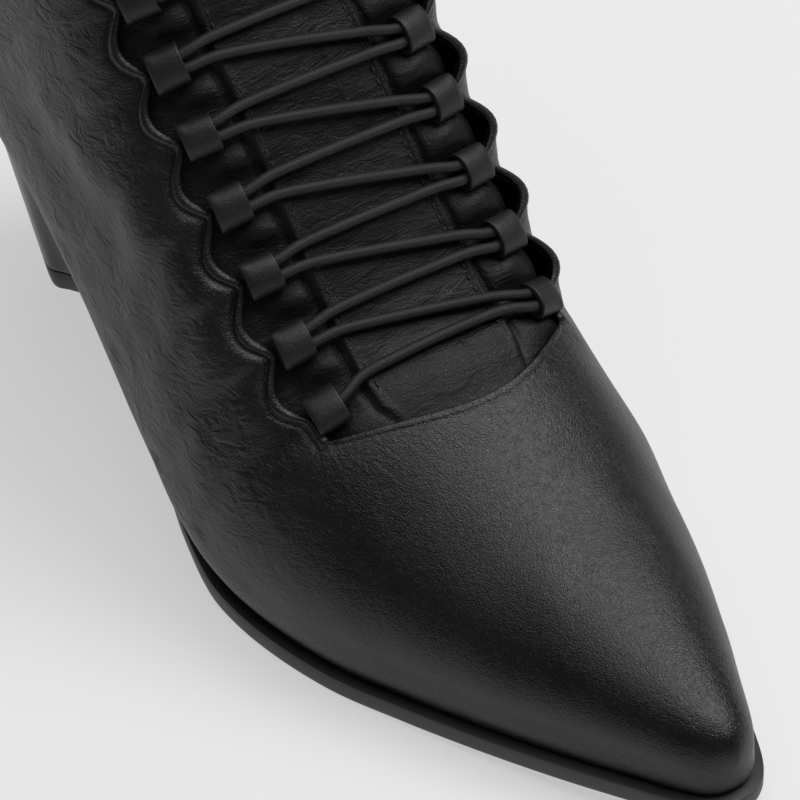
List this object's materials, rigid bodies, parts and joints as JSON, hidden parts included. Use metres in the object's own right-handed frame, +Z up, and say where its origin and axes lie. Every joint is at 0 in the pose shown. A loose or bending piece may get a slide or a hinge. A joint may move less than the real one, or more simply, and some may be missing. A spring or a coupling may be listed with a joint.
{
  "type": "lace up ankle boot",
  "caption": "Pointed leather ankle boot for the right foot with a tapered block heel and an elastic lace zig-zagged through folded leather loops.",
  "frame": {"origin": "on the floor under the heel, in the middle of the heel's width", "axes": "+Z up, +Y along the boot towards the toe, +X towards the outer side of the right foot"},
  "size_m": [0.0869, 0.2333, 0.1728],
  "materials": {
    "smooth_leather": "semi-gloss, fine grain, softly creased",
    "soft_leather": "soft, finely wrinkled",
    "loop_leather": "smooth with raw cut edges",
    "elastic": "round woven elastic",
    "sole_rubber": "smooth, satin",
    "heel_lacquer": "satin black over a moulded heel",
    "sock": "matt lining leather"
  },
  "bodies": {
    "root": {"upper": "smooth_leather", "tongue": "soft_leather", "insole": "sock", "outsole": "sole_rubber", "heel_block": "heel_lacquer", "heel_top_piece": "sole_rubber", "lace": "elastic", "loop_outer_01": "loop_leather", "loop_outer_02": "loop_leather", "loop_outer_03": "loop_leather", "loop_outer_04": "loop_leather", "loop_outer_05": "loop_leather", "loop_outer_06": "loop_leather", "loop_outer_07": "loop_leather", "loop_outer_08": "loop_leather", "loop_outer_09": "loop_leather", "loop_outer_10": "loop_leather", "loop_inner_01": "loop_leather", "loop_inner_02": "loop_leather", "loop_inner_03": "loop_leather", "loop_inner_04": "loop_leather", "loop_inner_05": "loop_leather", "loop_inner_06": "loop_leather", "loop_inner_07": "loop_leather", "loop_inner_08": "loop_leather", "loop_inner_09": "loop_leather", "loop_inner_10": "loop_leather"}
  },
  "joints": []
}
